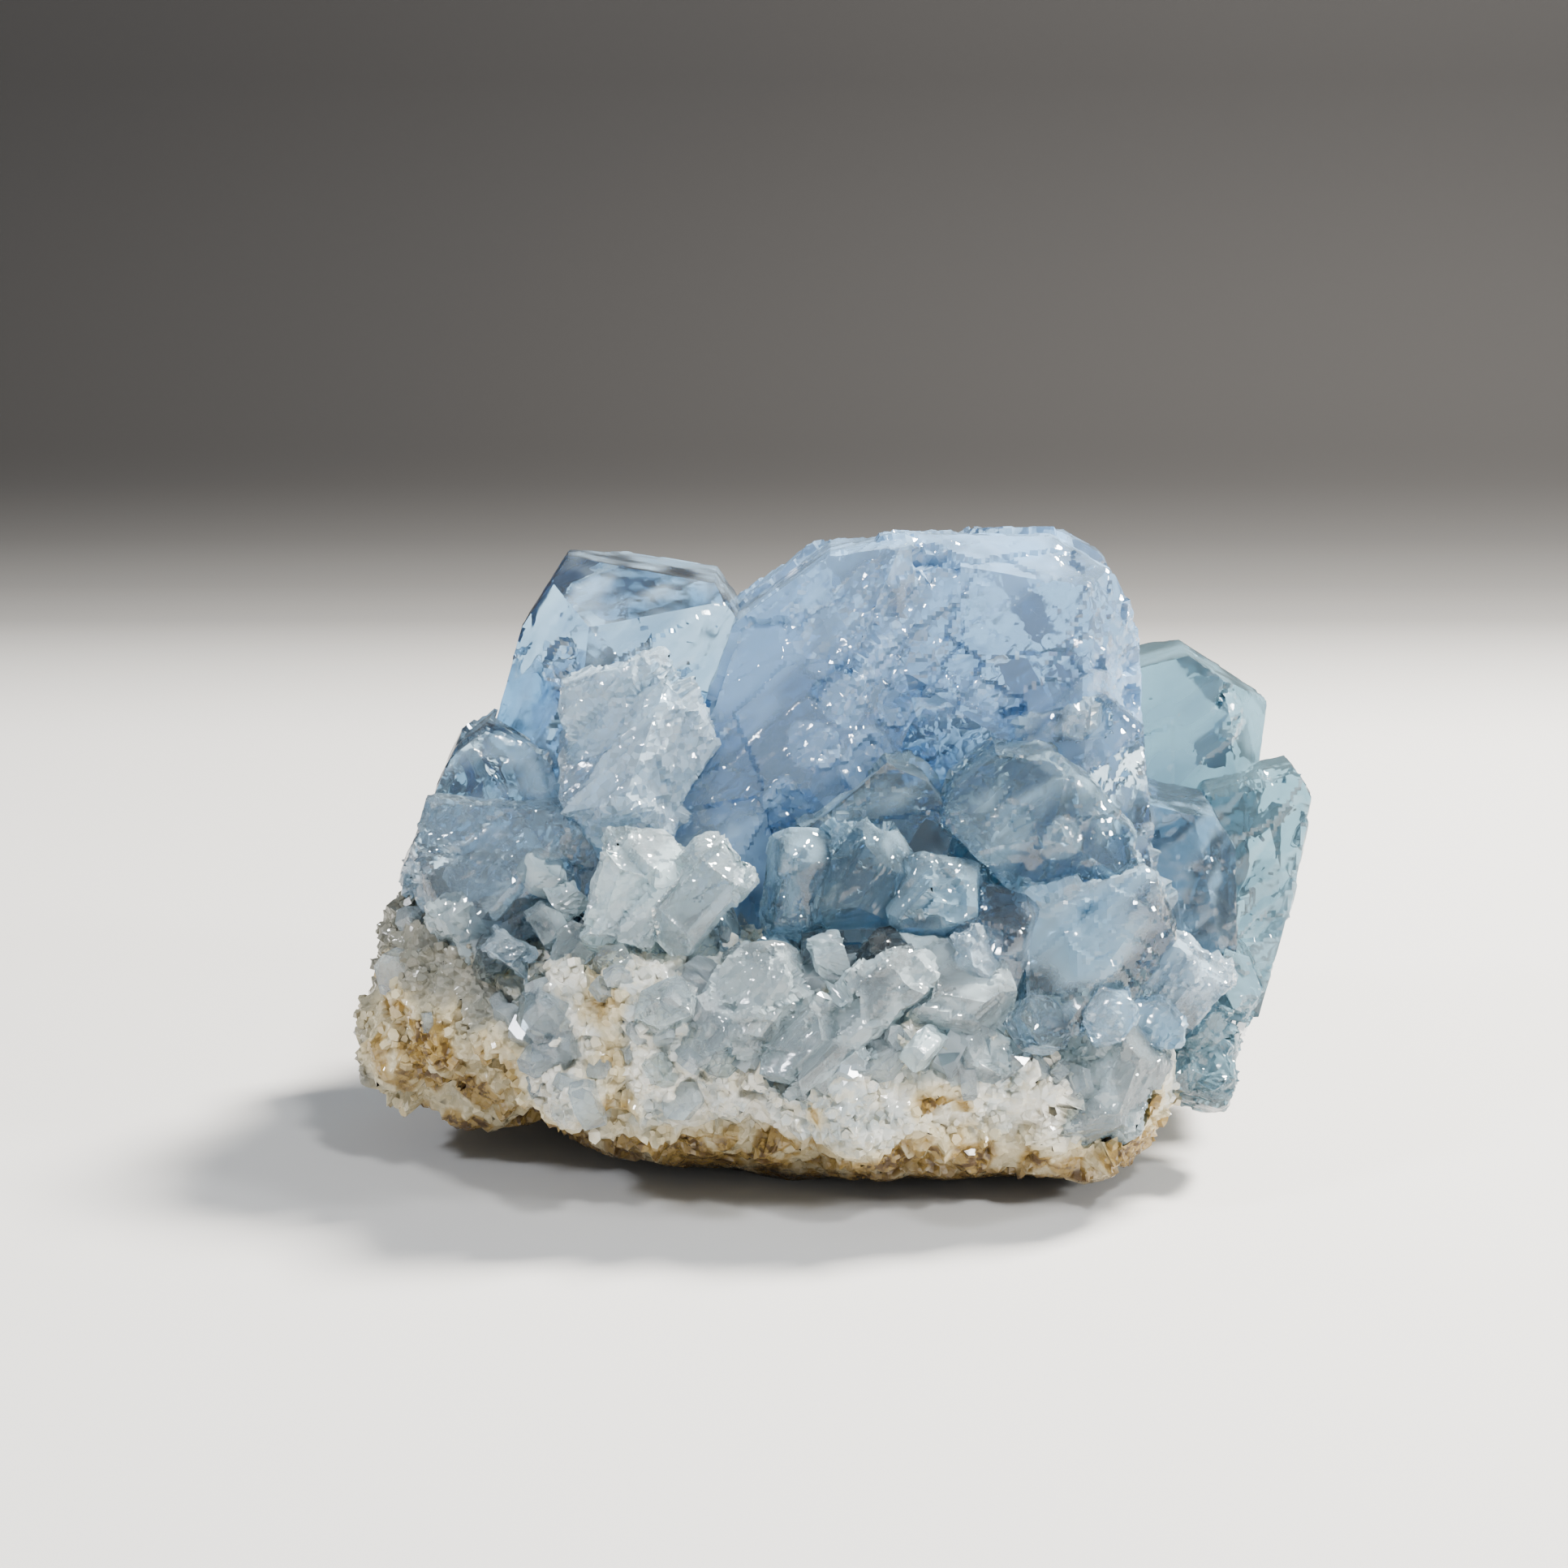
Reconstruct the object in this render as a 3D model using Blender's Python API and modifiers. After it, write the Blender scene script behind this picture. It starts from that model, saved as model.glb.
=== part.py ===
"""Rough celestite: blue crystals grown together on a crust of sugary matrix.

Metres, +Z up. +X is the specimen's right as it is shown, +Y points away from the viewer. The origin is
at the middle of the bounding box, on the surface that the specimen rests on. Places and sizes are
written in millimetres and turned into metres by MM.
"""
import math

import bmesh
import bpy
from mathutils import Euler, Matrix, Vector, noise

MM = 0.001

# Driving dimensions, mm
GAP = 0.3              # air between neighbouring pieces
BLOCK_HALF = 40.0      # half side of the cube that each crystal is cut from
CRUST_VOXEL = 1.5      # grid on which the lumps of the crust are melted together
CRUST_ROUGH = 0.55     # height of the crust's uneven surface
CRUST_GRAIN = 4.0      # width of those hills and dips
CRUST_FINER = 2.3      # a second layer of hills is this many times narrower
CRUST_FINE = 0.5       # and this share as high
WELD = 0.005           # edges shorter than this are closed up
ON_PLANE = 0.0001      # a corner this near to a cut lies on it
WEAK_ANGLE = 0.02      # radians: faces this close to flat are one face

# Angles of celestite's faces, degrees
PRISM_ANGLE = 38.0     # prism faces, from the long axis
END_DOME = 39.4        # end domes, from the upright axis
SIDE_DOME = 52.1       # side domes, from the upright axis
END_TRIM = 0.86        # share of its full reach at which an end dome cuts the corner
SIDE_TRIM = 0.84       # the same for a side dome

CRYSTAL_BLUE = (0.45, 0.62, 0.78)
CRYSTAL_SHADE = (0.30, 0.42, 0.52)
CRYSTAL_TEAL = (0.40, 0.52, 0.56)
CRYSTAL_WHITE = (0.66, 0.72, 0.76)
CRUST_GREY = (0.52, 0.50, 0.45)
CRYSTAL_ROUGHNESS = 0.15
CRUST_ROUGHNESS = 0.85

# A face is (bearing, tilt, reach): its normal's bearing in degrees, seen from above with 0 at +X and
# 90 at +Y, the normal's tilt up from level, and the face's distance from the crystal's heart in mm.

# The two largest crystals and the foot under the left one, which overlap
CENTRE_LEFT = ((-2.0, -1.0, 21.0), (
    (180, 52, 7.2), (180, 80, 10.0), (0, 28, 10.2), (0, -28, 4.1), (0, -47, 3.5), (180, 18, 4.9),
    (255, 20, 6.0), (300, 2, 6.2), (265, -25, 6.4), (90, 15, 7.0), (55, 40, 9.5), (0, -90, 9.0)))
CENTRE_RIGHT = ((9.0, 1.0, 24.0), (
    (100, 84, 7.8), (275, 58, 8.4), (264, 12, 6.6), (250, -10, 7.0), (0, 5, 6.5), (0, 24, 7.1),
    (0, 61, 8.0), (318, 6, 7.2), (200, -60, 7.4), (0, -90, 8.5), (180, 0, 6.0),
    (85, 10, 7.5), (130, 30, 8.5), (40, 25, 8.5)))
CENTRE_FOOT = ((-6.6, -4.0, 14.5), (
    (180, 35, 4.0), (180, -12, 3.4), (0, 12, 3.6), (0, -25, 4.4), (255, 12, 3.6), (300, -5, 3.8),
    (90, 0, 5.0), (0, 90, 5.5), (0, -90, 6.0)))

LARGE = {
    # Left side
    "crystal_left_tall": ((-11.5, 1.0, 22.0), (
        (0, 80, 8.3), (278, 52, 7.4), (180, 33, 6.8), (180, 17, 6.0), (180, -23, 6.0), (228, 10, 5.2),
        (287, 6, 4.8), (0, 33, 8.4), (0, -9, 5.5), (90, 8, 5.0), (130, 30, 6.4), (0, -90, 10.0))),
    "crystal_left_front": ((-10.3, -6.0, 21.0), (
        (180, 72, 5.0), (0, 30, 4.1), (0, -27, 2.9), (180, 3, 3.6), (180, -34, 3.6), (248, 24, 2.7),
        (300, 6, 2.7), (262, -30, 3.4), (90, 0, 3.5))),
    "crystal_left_block": ((-17.2, -2.0, 19.0), (
        (0, 69, 3.0), (180, 53, 3.3), (180, 25, 3.1), (180, -20, 3.4), (255, 16, 3.6), (292, 38, 3.3),
        (0, 0, 3.8), (90, 5, 3.6), (0, -90, 4.0))),
    "crystal_left_low": ((-17.0, -5.4, 16.2), (
        (0, 88, 3.1), (180, 22, 4.5), (180, -62, 3.6), (0, -57, 3.4), (0, 19, 4.6), (258, 22, 3.2),
        (292, -8, 3.8), (215, -5, 4.4), (90, 0, 4.0))),
    # Right side
    "crystal_right_clear": ((11.8, -4.5, 20.5), (
        (180, 73, 3.6), (0, 47, 4.1), (0, 2, 3.6), (180, 36, 4.0), (180, -10, 4.2), (290, 15, 3.2),
        (240, 12, 3.4), (90, 0, 4.0), (0, -90, 5.0))),
    "crystal_right_round": ((9.8, -9.0, 19.2), (
        (0, 86, 3.3), (0, 54, 2.9), (0, 42, 3.0), (0, 0, 4.6), (0, -62, 3.9), (0, -90, 3.1),
        (180, -44, 3.0), (180, 23, 4.5), (180, 52, 4.0), (258, 24, 3.0), (296, 12, 3.2),
        (272, -22, 3.1), (90, 0, 3.0))),
    "crystal_back_right": ((18.8, 6.5, 19.0), (
        (180, 76, 5.6), (0, 57, 4.95), (0, -12, 3.9), (264, 10, 3.2), (322, 12, 4.1), (180, 0, 5.5),
        (90, 5, 3.6), (60, 30, 4.6), (0, -90, 9.0))),
    "crystal_far_right": ((22.3, 1.5, 13.5), (
        (180, 77, 5.1), (0, 30, 4.6), (0, -10, 1.9), (0, -15, 1.95), (276, 6, 1.8), (180, 0, 2.6),
        (90, 0, 3.2), (0, -90, 7.0))),
    "crystal_right_block": ((17.6, -2.5, 13.8), (
        (0, 77, 4.5), (0, 32, 3.7), (0, 0, 2.8), (268, 6, 3.0), (305, 12, 3.3), (180, 0, 3.6),
        (90, 0, 4.0), (0, -90, 6.0))),
    "crystal_low_striated": ((12.7, -10.5, 13.7), (
        (180, 76, 2.9), (0, 22, 3.5), (0, -32, 2.9), (180, 0, 3.6), (180, 59, 3.2), (262, 22, 2.6),
        (300, -5, 2.9), (90, 0, 3.5), (0, -90, 4.0))),
    # The shaded group
    "crystal_shade_peak": ((2.8, -8.0, 17.5), (
        (180, 51, 3.7), (0, 69, 4.0), (0, 32, 3.2), (268, 18, 2.6), (300, 5, 3.6), (90, 0, 2.6),
        (180, 0, 4.6), (0, -90, 5.0))),
}

# The smaller crystals, all of one habit: heart, then length, width and height in mm, then the turns
# about X, Y and Z in degrees
SMALL = {
    "crystal_shade_prism": ((-2.0, -11.0, 16.3), (5.4, 3.0, 2.6), (10, -82, 10)),
    "crystal_shade_block": ((0.9, -11.4, 16.8), (5.6, 4.2, 3.4), (15, -62, 20)),
    "crystal_shade_step": ((4.9, -11.9, 15.8), (5.2, 3.8, 3.2), (-35, 12, 15)),
    "crystal_white_left": ((-10.4, -12.2, 16.2), (6.6, 3.8, 3.2), (20, -72, -15)),
    "crystal_white_right": ((-6.9, -12.8, 16.3), (6.0, 3.4, 3.0), (-20, -48, 10)),
    "crystal_low_shiny": ((16.8, -9.6, 11.0), (5.4, 4.2, 3.6), (25, 30, 35)),
    "crystal_low_dome": ((7.4, -12.4, 13.9), (5.2, 3.8, 3.4), (10, -78, -30)),
    "crystal_ridge_left": ((-4.0, -14.4, 11.4), (5.6, 3.8, 3.4), (30, -50, 25)),
    "crystal_ridge_prism": ((0.4, -15.2, 10.6), (9.6, 3.4, 3.0), (-25, -40, 5)),
    "crystal_ridge_right": ((4.9, -14.0, 11.9), (7.2, 4.2, 3.2), (35, 8, -10)),
    "crystal_ridge_foot": ((13.0, -12.3, 6.9), (7.2, 5.0, 4.2), (20, -65, 25)),
    "crystal_edge_upper": ((19.4, -4.0, 8.7), (6.0, 4.6, 4.0), (20, -60, 30)),
    "crystal_edge_lower": ((17.8, -6.6, 6.2), (6.6, 5.0, 4.4), (-20, 25, 20)),
    # The back, which is turned away
    "crystal_rear_left": ((-12.0, 9.0, 16.2), (12.0, 8.5, 7.5), (15, -55, 60)),
    "crystal_rear_middle": ((-1.5, 10.5, 17.2), (13.0, 9.0, 8.0), (-15, -70, 95)),
    "crystal_rear_right": ((10.5, 11.5, 14.5), (12.0, 8.0, 7.0), (20, -50, 110)),
    "crystal_rear_edge": ((-18.5, 6.0, 13.5), (8.0, 6.0, 5.0), (10, -40, 140)),
    "crystal_rear_foot": ((3.5, 15.0, 10.0), (8.0, 5.5, 5.0), (-25, -35, 75)),
}

# The crust: ellipsoids melted into one lump, as centre and half sizes in mm
CRUST_LUMPS = (
    ((-2.5, 0.0, 6.2), (18.0, 13.5, 7.6)),
    ((3.5, -4.8, 3.3), (13.5, 7.8, 3.7)),
    ((-18.2, -2.5, 8.2), (6.5, 8.5, 6.6)),
    ((-20.6, -3.5, 11.0), (3.6, 5.0, 3.8)),
    ((-9.0, -10.0, 8.2), (8.5, 6.5, 5.2)),
    ((1.5, -10.5, 7.6), (9.5, 6.5, 5.4)),
    ((11.2, -8.0, 5.6), (6.4, 6.5, 5.4)),
    ((13.5, 0.5, 7.5), (6.5, 9.0, 6.0)),
    ((-1.0, 1.0, 10.5), (14.0, 9.5, 5.0)),
    ((-6.0, 9.0, 7.0), (12.0, 7.5, 5.8)),
    ((8.0, 9.0, 7.0), (9.0, 7.0, 5.6)),
)


def clear_scene():
    for old in list(bpy.data.objects):
        bpy.data.objects.remove(old, do_unlink=True)


def new_collection(name):
    collection = bpy.data.collections.new(name)
    bpy.context.scene.collection.children.link(collection)
    return collection


def new_object(name, mesh, collection):
    item = bpy.data.objects.new(name, mesh)
    collection.objects.link(item)
    return item


def plain_material(name, colour, roughness, metallic=0.0):
    material = bpy.data.materials.new(name)
    material.use_nodes = True
    shader = material.node_tree.nodes["Principled BSDF"]
    shader.inputs["Base Color"].default_value = (*colour, 1.0)
    shader.inputs["Roughness"].default_value = roughness
    shader.inputs["Metallic"].default_value = metallic
    return material


def direction(bearing, tilt):
    """The unit vector at a bearing and a tilt, both in degrees."""
    b = math.radians(bearing)
    t = math.radians(tilt)
    return Vector((math.cos(t) * math.cos(b), math.cos(t) * math.sin(b), math.sin(t)))


def large_faces(heart, faces):
    """The face planes of a crystal that has its own list of faces, as (normal, distance) in mm."""
    centre = Vector(heart)
    planes = []
    for bearing, tilt, reach in faces:
        normal = direction(bearing, tilt)
        planes.append((normal, normal.dot(centre) + reach))
    return planes


def habit_faces(heart, size, turns):
    """The face planes of a crystal of the common habit: a flattened prism with domed ends."""
    length, width, height = size
    spin = Euler([math.radians(turn) for turn in turns]).to_matrix()
    centre = Vector(heart)
    local = [(direction(0, side * 90), height / 2) for side in (1, -1)]
    for bearing in (0, 180):
        tip = length / 2
        for swing in (PRISM_ANGLE, -PRISM_ANGLE):
            local.append((direction(bearing + swing, 0), tip * math.cos(math.radians(PRISM_ANGLE))))
        for side in (1, -1):
            dome = direction(bearing, side * (90 - END_DOME))
            local.append((dome, END_TRIM * (abs(dome.x) * tip + abs(dome.z) * height / 2)))
    for bearing in (90, 270):
        local.append((direction(bearing, 0), width / 2))
        for side in (1, -1):
            dome = direction(bearing, side * (90 - SIDE_DOME))
            local.append((dome, SIDE_TRIM * (abs(dome.y) * width / 2 + abs(dome.z) * height / 2)))
    planes = []
    for normal, reach in local:
        turned = spin @ normal
        planes.append((turned, turned.dot(centre) + reach))
    return planes


def slice_off(shape, point, normal):
    """Take away what lies beyond a plane, and return the edges of the open cut."""
    everything = shape.verts[:] + shape.edges[:] + shape.faces[:]
    cut = bmesh.ops.bisect_plane(
        shape, geom=everything, dist=ON_PLANE * MM, plane_co=point, plane_no=normal, clear_outer=True)
    return [edge for edge in cut["geom_cut"] if isinstance(edge, bmesh.types.BMEdge)]


def cut_block(name, planes, grow=0.0):
    """A cube cut back to the given planes, each moved out by grow mm."""
    mesh = bpy.data.meshes.new(name)
    shape = bmesh.new()
    bmesh.ops.create_cube(shape, size=2 * BLOCK_HALF * MM)
    for normal, distance in planes:
        rim = slice_off(shape, normal * (distance + grow) * MM, normal)
        if rim:
            bmesh.ops.contextual_create(shape, geom=rim)
    bmesh.ops.recalc_face_normals(shape, faces=shape.faces)
    shape.to_mesh(mesh)
    shape.free()
    return mesh


def boolean(item, other, operation):
    modifier = item.modifiers.new(other.name, "BOOLEAN")
    modifier.operation = operation
    modifier.solver = "EXACT"
    modifier.object = other


def as_cutter(name, planes, grow, collection):
    cutter = new_object(name, cut_block(name, planes, grow), collection)
    cutter.hide_render = True
    cutter.display_type = "WIRE"
    return cutter


def boxes_meet(one, other):
    """Whether two meshes' boxes touch."""
    spans = []
    for mesh in (one, other):
        spots = [vert.co for vert in mesh.vertices]
        spans.append([(min(spot[axis] for spot in spots), max(spot[axis] for spot in spots))
                      for axis in range(3)])
    return all(a[0] < b[1] and b[0] < a[1] for a, b in zip(*spans))


def evaluated_mesh(item):
    graph = bpy.context.evaluated_depsgraph_get()
    return bpy.data.meshes.new_from_object(item.evaluated_get(graph))


def bounds(items):
    spots = [vert.co for item in items for vert in evaluated_mesh(item).vertices]
    low = Vector([min(spot[axis] for spot in spots) for axis in range(3)])
    high = Vector([max(spot[axis] for spot in spots) for axis in range(3)])
    return low, high


def islands(shape):
    """The shape's vertices, grouped by what hangs together, the largest group first."""
    left = set(shape.verts)
    groups = []
    while left:
        group = {left.pop()}
        newest = list(group)
        while newest:
            vert = newest.pop()
            fresh = {edge.other_vert(vert) for edge in vert.link_edges} - group
            group |= fresh
            newest += fresh
        left -= group
        groups.append(group)
    return sorted(groups, key=len, reverse=True)


def settle(item, place):
    """Apply the cuts, drop the chips that they split off and move the piece into its place."""
    mesh = evaluated_mesh(item)
    item.modifiers.clear()
    shape = bmesh.new()
    shape.from_mesh(mesh)
    for chip in islands(shape)[1:]:
        bmesh.ops.delete(shape, geom=list(chip), context="VERTS")
    bmesh.ops.dissolve_degenerate(shape, dist=WELD * MM, edges=shape.edges)
    bmesh.ops.triangulate(shape, faces=shape.faces)
    bmesh.ops.translate(shape, verts=shape.verts, vec=place)
    shape.to_mesh(mesh)
    shape.free()
    item.data = mesh


def melt_crust():
    """The crust's lumps as one closed surface, uneven and cut flat where it rests."""
    lumps = bmesh.new()
    for centre, half in CRUST_LUMPS:
        place = Matrix.Translation(Vector(centre) * MM) @ Matrix.Diagonal((*half, 1.0))
        bmesh.ops.create_icosphere(lumps, subdivisions=4, radius=MM, matrix=place)
    mesh = bpy.data.meshes.new("lumps")
    lumps.to_mesh(mesh)
    lumps.free()
    melted = bpy.data.objects.new("lumps", mesh)
    bpy.context.scene.collection.objects.link(melted)
    remesh = melted.modifiers.new("melt", "REMESH")
    remesh.mode = "VOXEL"
    remesh.voxel_size = CRUST_VOXEL * MM
    crust = evaluated_mesh(melted)
    bpy.data.objects.remove(melted, do_unlink=True)

    shape = bmesh.new()
    shape.from_mesh(crust)
    for vert in shape.verts:
        spot = vert.co / (CRUST_GRAIN * MM)
        hill = noise.noise(spot) + CRUST_FINE * noise.noise(CRUST_FINER * spot)
        vert.co += vert.normal * hill * CRUST_ROUGH * MM
    rim = slice_off(shape, (0, 0, 0), (0, 0, -1))
    bmesh.ops.triangle_fill(shape, edges=rim, use_beauty=True)
    bmesh.ops.dissolve_limit(shape, angle_limit=WEAK_ANGLE, verts=shape.verts, edges=shape.edges)
    bmesh.ops.triangulate(shape, faces=shape.faces)
    bmesh.ops.recalc_face_normals(shape, faces=shape.faces)
    shape.to_mesh(crust)
    shape.free()
    return crust


def crystal_colour(name):
    if name.startswith(("crystal_shade", "crystal_right_block")):
        return CRYSTAL_SHADE
    if name.startswith(("crystal_back", "crystal_far", "crystal_edge")):
        return CRYSTAL_TEAL
    if name.startswith(("crystal_white", "crystal_ridge")):
        return CRYSTAL_WHITE
    return CRYSTAL_BLUE


def main():
    clear_scene()
    parts = new_collection("celestite")
    cutters = new_collection("cutters")

    # The centre pair keeps its full shape, and every later crystal stops short of the ones before it
    pair = [large_faces(*block) for block in (CENTRE_LEFT, CENTRE_RIGHT, CENTRE_FOOT)]
    centre = new_object("crystal_centre_pair", cut_block("crystal_centre_pair", pair[0]), parts)
    for number, planes in enumerate(pair[1:]):
        boolean(centre, as_cutter(f"pair_{number}", planes, 0.0, cutters), "UNION")
    sockets = [as_cutter(f"socket_{number}", planes, GAP, cutters) for number, planes in enumerate(pair)]

    wanted = [(name, large_faces(*row)) for name, row in LARGE.items()]
    wanted += [(name, habit_faces(*row)) for name, row in SMALL.items()]
    for name, planes in wanted:
        crystal = new_object(name, cut_block(name, planes), parts)
        for socket in sockets:
            if boxes_meet(crystal.data, socket.data):
                boolean(crystal, socket, "DIFFERENCE")
        sockets.append(as_cutter(f"socket_{name}", planes, GAP, cutters))

    # The crust has a socket for each crystal's root
    crust = new_object("matrix", melt_crust(), parts)
    for socket in sockets:
        boolean(crust, socket, "DIFFERENCE")

    low, high = bounds(parts.objects)
    middle = (low + high) / 2
    for item in parts.objects:
        settle(item, Vector((-middle.x, -middle.y, 0.0)))
        if item.name == "matrix":
            material = plain_material(item.name, CRUST_GREY, CRUST_ROUGHNESS)
        else:
            material = plain_material(item.name, crystal_colour(item.name), CRYSTAL_ROUGHNESS)
        item.data.materials.append(material)


main()
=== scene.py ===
import math

import bmesh
import bpy
import numpy as np
from mathutils import Euler, Matrix, Vector
from mathutils.bvhtree import BVHTree


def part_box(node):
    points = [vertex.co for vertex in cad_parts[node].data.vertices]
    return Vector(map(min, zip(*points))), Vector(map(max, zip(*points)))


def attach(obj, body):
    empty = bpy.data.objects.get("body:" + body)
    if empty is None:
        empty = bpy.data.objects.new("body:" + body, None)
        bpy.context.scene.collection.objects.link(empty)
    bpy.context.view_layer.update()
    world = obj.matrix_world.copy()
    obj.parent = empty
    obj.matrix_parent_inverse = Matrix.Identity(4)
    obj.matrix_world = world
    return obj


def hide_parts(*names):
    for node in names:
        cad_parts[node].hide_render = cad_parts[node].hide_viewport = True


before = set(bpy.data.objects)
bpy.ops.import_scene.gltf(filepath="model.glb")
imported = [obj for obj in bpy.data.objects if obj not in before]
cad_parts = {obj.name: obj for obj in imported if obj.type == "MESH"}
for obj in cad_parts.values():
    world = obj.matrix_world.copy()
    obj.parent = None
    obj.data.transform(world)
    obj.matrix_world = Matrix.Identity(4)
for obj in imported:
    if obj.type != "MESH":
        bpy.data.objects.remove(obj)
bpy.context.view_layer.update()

MM = 0.001

# Fineness of the meshes, mm
CRYSTAL_CELL = 0.21      # spacing of the points on a large crystal's skin
SMALL_CELL = 0.15        # and on a small one's
CRUST_CELL = 0.29        # and on the crust's
OCTREE_FILL = 0.98       # share of the remesh's grid that the shell may fill
SMALL_SIZE = 7.5         # a crystal shorter than this is a small one
SMALL_CUTS = 9           # cuts along each edge of the smallest crystals
SEAM = 0.13              # each crystal grows by this much, to meet its neighbours
CRUST_SEAM = 0.05        # and the crust by this much
MITRE_LIMIT = 2.0        # times as far at the most, where its edges are sharp
SCALE_SIZE = 0.42        # the scales on broken crystal
CRUMB_SIZE = 0.30        # the grains of the crust
GRAIN_GAP = 0.18         # least distance between the feet of two grains

# The flat cracks sealed in the crystals, mm
CRACK_DEPTH = 0.8        # least depth of a crack's middle under the skin
CRACK_GAP = 0.3          # and of its rim
CRACK_REACH = 4.2        # longest way from the middle to the rim
CRACK_HALF = 0.015       # half of its thickness
CRACK_CORNERS = 7
CRACK_TRIES = 60         # places tried for each crack that is wanted
CRACK_OPENING = 2.4      # widest turn between two corners, radians

SHARP_TURN = 17.0        # degrees: a fold steeper than this stays a crisp edge
CRUST_TURN = 30.0        # and on the crust

# How far from its middle a small crystal is cut, as a share of its length
CHISEL_REACH = 0.44      # the faces of its ends
DOME_REACH = 0.40        # the sloping face over one end
CHIP_REACH = 0.34        # a broken corner

FLOOR_REACH = 1600       # the floor goes this far to the sides and to the front, mm

# The camera stands where the picture was taken, mm and degrees
CAMERA_SPOT = (-3.0, -154.8, 54.4)
CAMERA_DOWN = 13.0
CAMERA_LENS = 68.9


# Repeatable noise in three dimensions, over arrays of points in mm

def cell_random(cells, seed):
    """A number from 0 to 1 for each whole-numbered cell, always the same for the same seed."""
    cells = cells.astype(np.int64)
    mixed = cells[..., 0] * 73856093 ^ cells[..., 1] * 19349663 ^ cells[..., 2] * 83492791
    mixed = (mixed ^ seed * 668265263) & 0xFFFFFFFF
    mixed = (mixed ^ mixed >> 15) * 739198453 & 0xFFFFFFFF
    mixed = (mixed ^ mixed >> 12) * 695872825 & 0xFFFFFFFF
    return (mixed ^ mixed >> 15) / 2.0 ** 32


def hills(points, size, seed):
    """Smooth hills and dips of about that size, from -1 to 1."""
    spots = points / size
    cells = np.floor(spots)
    part = spots - cells
    part = part * part * (3 - 2 * part)
    total = np.zeros(len(points))
    for corner in np.ndindex(2, 2, 2):
        corner = np.array(corner)
        weight = np.prod(np.where(corner, part, 1 - part), axis=1)
        total += weight * cell_random(cells + corner, seed)
    return 2 * total - 1


def leaned(points, lean, stretch):
    """The points squeezed along a line that leans by that many degrees, so that a pattern stretches."""
    swing = math.radians(lean)
    across, up = math.cos(swing), math.sin(swing)
    spin = np.array([[across, 0, up], [0, 1, 0], [-up, 0, across]])
    return points @ spin.T / np.array([stretch, 1.0, 1.0])


def facets(points, size, seed, tilt=0.5, lean=0.0, stretch=1.0):
    """Height of a broken skin: flat facets of about that size in mm, each tilted one of a few ways,
    with small cliffs between them. They stretch along a line that leans by that many degrees."""
    spots = leaned(points, lean, stretch) / size
    home = np.floor(spots)
    nearest = np.full(len(points), 99.0)
    height = np.zeros(len(points))
    for shift in np.ndindex(3, 3, 3):
        cells = home + np.array(shift) - 1
        away = spots - cells - np.stack([cell_random(cells, seed + axis) for axis in range(3)], axis=1)
        gap = (away ** 2).sum(axis=1)
        way = np.floor(7 * cell_random(cells, seed + 3))
        slope = tilt * np.stack([np.cos(2.4 * way + seed), np.cos(4.1 * way + 1 + seed),
                                 np.cos(5.3 * way + 2 + seed)], axis=1)
        level = 0.45 * (cell_random(cells, seed + 4) - 0.5) + (away * slope).sum(axis=1)
        closer = gap < nearest
        nearest[closer] = gap[closer]
        height[closer] = level[closer]
    return height * size


def terraces(points, bearing, tilt, width, seed):
    """A saw of growth steps across the given direction, from 0 at a step's foot to 1 at its lip."""
    across = direction(bearing, tilt)
    wander = 0.9 * hills(points, 5 * width, seed) + 0.25 * hills(points, width, seed)
    along = points @ across / width + wander
    return along - np.floor(along)


def direction(bearing, tilt):
    """The unit vector at those degrees round the vertical and above the floor."""
    turn, rise = math.radians(bearing), math.radians(tilt)
    return np.array([math.cos(rise) * math.cos(turn), math.cos(rise) * math.sin(turn), math.sin(rise)])


def between(value, low, high):
    """0 below low, 1 above high, and a smooth rise from one to the other."""
    part = np.clip((value - low) / (high - low), 0, 1)
    return part * part * (3 - 2 * part)


# Meshes

def cleaned(name, grow):
    """The CAD node's faces as one welded shell, pushed out by grow mm."""
    shape = bmesh.new()
    shape.from_mesh(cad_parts[name].data)
    bmesh.ops.remove_doubles(shape, verts=shape.verts, dist=0.002 * MM)
    bmesh.ops.dissolve_limit(shape, angle_limit=0.01, verts=shape.verts, edges=shape.edges)
    bmesh.ops.recalc_face_normals(shape, faces=shape.faces)
    shape.normal_update()
    for vert in shape.verts:
        vert.co += vert.normal * min(vert.calc_shell_factor(), MITRE_LIMIT) * grow * MM
    mesh = bpy.data.meshes.new(name)
    shape.to_mesh(mesh)
    shape.free()
    return mesh


def taken(item):
    """The object's mesh with its modifiers in it, in place of the modifiers."""
    graph = bpy.context.evaluated_depsgraph_get()
    mesh = bpy.data.meshes.new_from_object(item.evaluated_get(graph))
    item.modifiers.clear()
    item.data = mesh
    return item


def fine_skin(name, mesh, cell):
    """The shell rebuilt from even small faces that keep its sharp edges."""
    item = bpy.data.objects.new(name, mesh)
    bpy.context.scene.collection.objects.link(item)
    span = max(item.dimensions) / MM
    depth = math.ceil(math.log2(span / cell / OCTREE_FILL))
    remesh = item.modifiers.new("skin", "REMESH")
    remesh.mode = "SHARP"
    remesh.octree_depth = depth
    remesh.scale = span / cell / 2 ** depth
    remesh.use_remove_disconnected = False
    return taken(item)


def diced(item, cuts):
    """The small block's faces cut into fine triangles, with its edges kept exactly."""
    shape = bmesh.new()
    shape.from_mesh(item.data)
    bmesh.ops.triangulate(shape, faces=shape.faces)
    bmesh.ops.subdivide_edges(shape, edges=shape.edges, cuts=cuts, use_grid_fill=True)
    shape.to_mesh(item.data)
    shape.free()
    return item


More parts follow.
